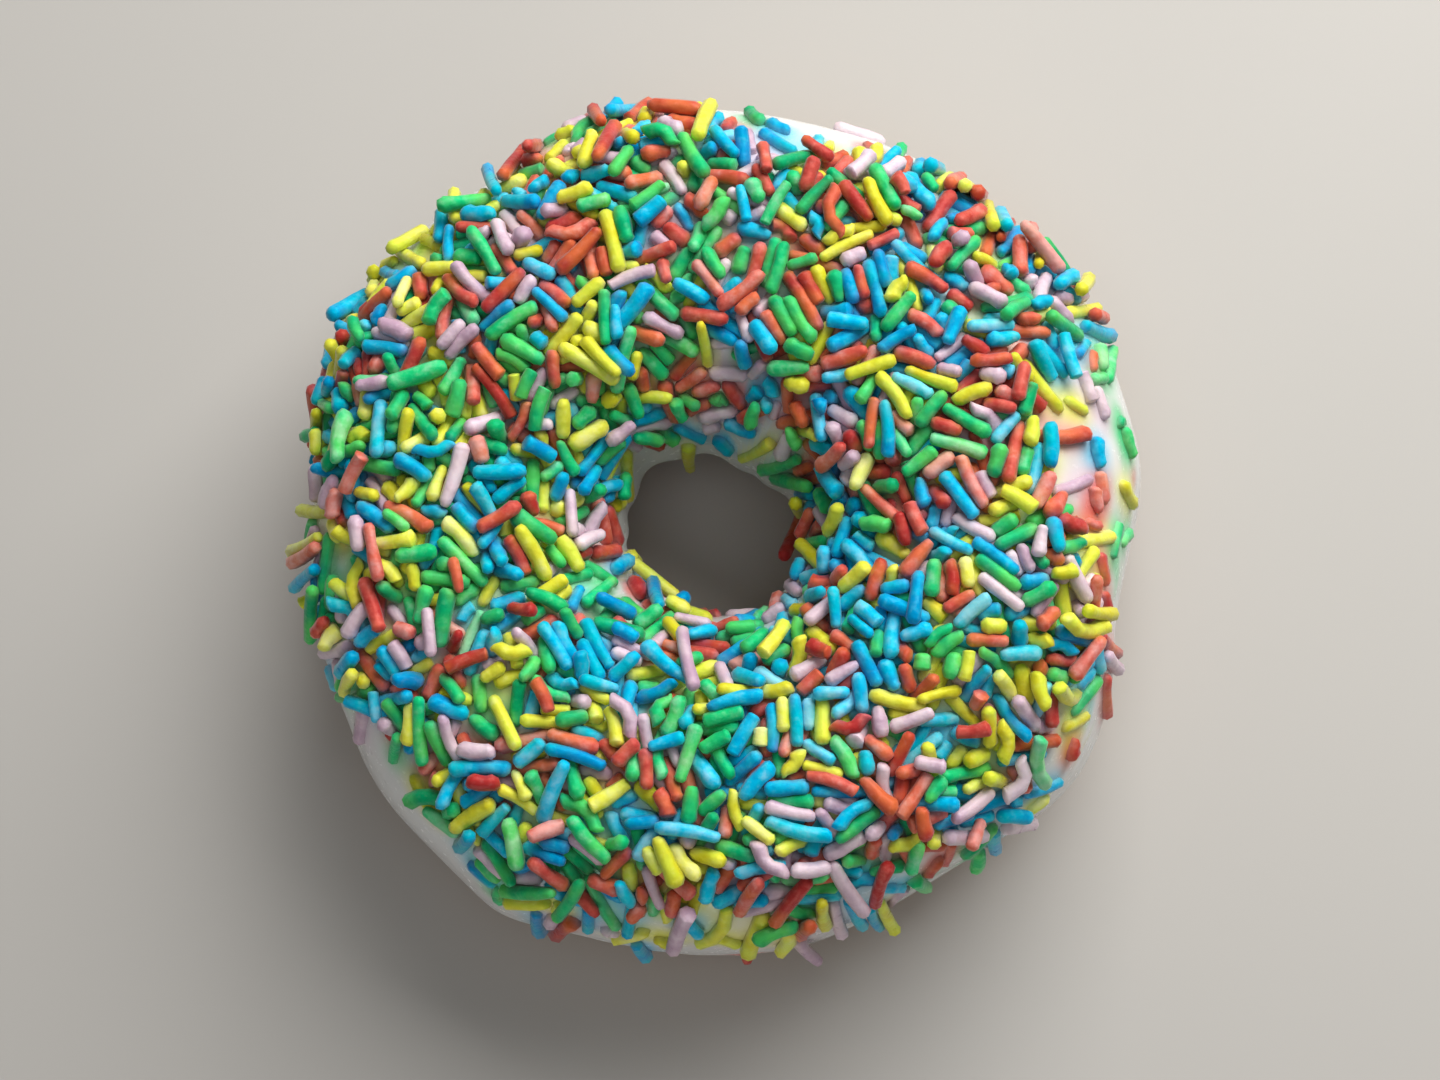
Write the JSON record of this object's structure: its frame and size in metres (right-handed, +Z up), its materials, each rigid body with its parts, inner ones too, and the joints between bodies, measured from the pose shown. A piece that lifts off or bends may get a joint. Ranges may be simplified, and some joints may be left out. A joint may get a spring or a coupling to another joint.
{
  "type": "sprinkle frosted doughnut",
  "caption": "Raised ring doughnut with a white icing cap dipped over its top half and a dense layer of coloured sugar strands.",
  "frame": {"origin": "on the table under the middle of the doughnut's outline, with the hole's axis 1.5 mm from it", "axes": "+Z up along the hole, +X and +Y across the ring"},
  "size_m": [0.0879, 0.0899, 0.0337],
  "materials": {
    "dough": "fried crust, golden brown, matte",
    "icing": "set sugar icing, white, satin",
    "sprinkles_blue": "sugar strand, blue, satin",
    "sprinkles_yellow": "sugar strand, yellow, satin",
    "sprinkles_green": "sugar strand, green, satin",
    "sprinkles_red": "sugar strand, red, satin",
    "sprinkles_pink": "sugar strand, pale pink, satin"
  },
  "bodies": {
    "root": {"dough_ring": "dough", "icing_with_sprinkles": "icing"}
  },
  "joints": []
}
